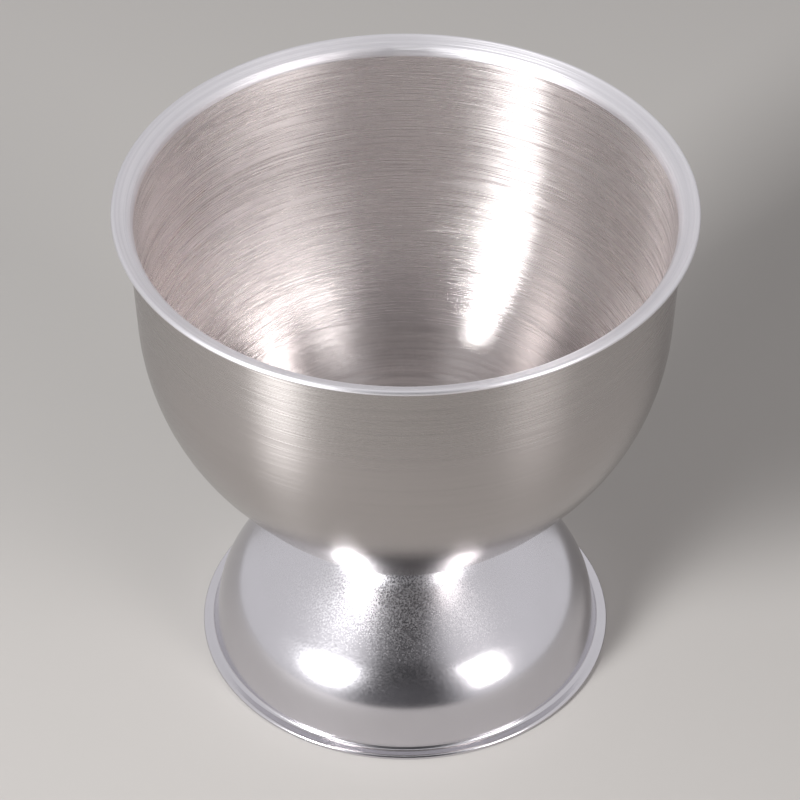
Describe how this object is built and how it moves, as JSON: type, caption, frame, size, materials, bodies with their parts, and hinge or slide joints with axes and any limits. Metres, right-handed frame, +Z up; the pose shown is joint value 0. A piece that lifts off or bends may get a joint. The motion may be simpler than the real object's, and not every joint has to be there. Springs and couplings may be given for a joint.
{
  "type": "egg cup",
  "caption": "Footed steel egg cup: a deep round bowl with a sloping out-turned lip, welded to a bell-shaped foot with a narrow base flange.",
  "frame": {"origin": "on the cup's axis at the surface that it stands on", "axes": "+Z up along the cup's axis, towards the rim; the cup is round, so X and Y are free"},
  "size_m": [0.05, 0.05, 0.0488],
  "materials": {
    "bowl_steel": "brushed round the axis",
    "foot_steel": "polished with a fine haze",
    "weld_steel": "fused metal, bare"
  },
  "bodies": {
    "root": {"bowl": "bowl_steel", "foot": "foot_steel", "weld_nugget": "weld_steel"}
  },
  "joints": []
}
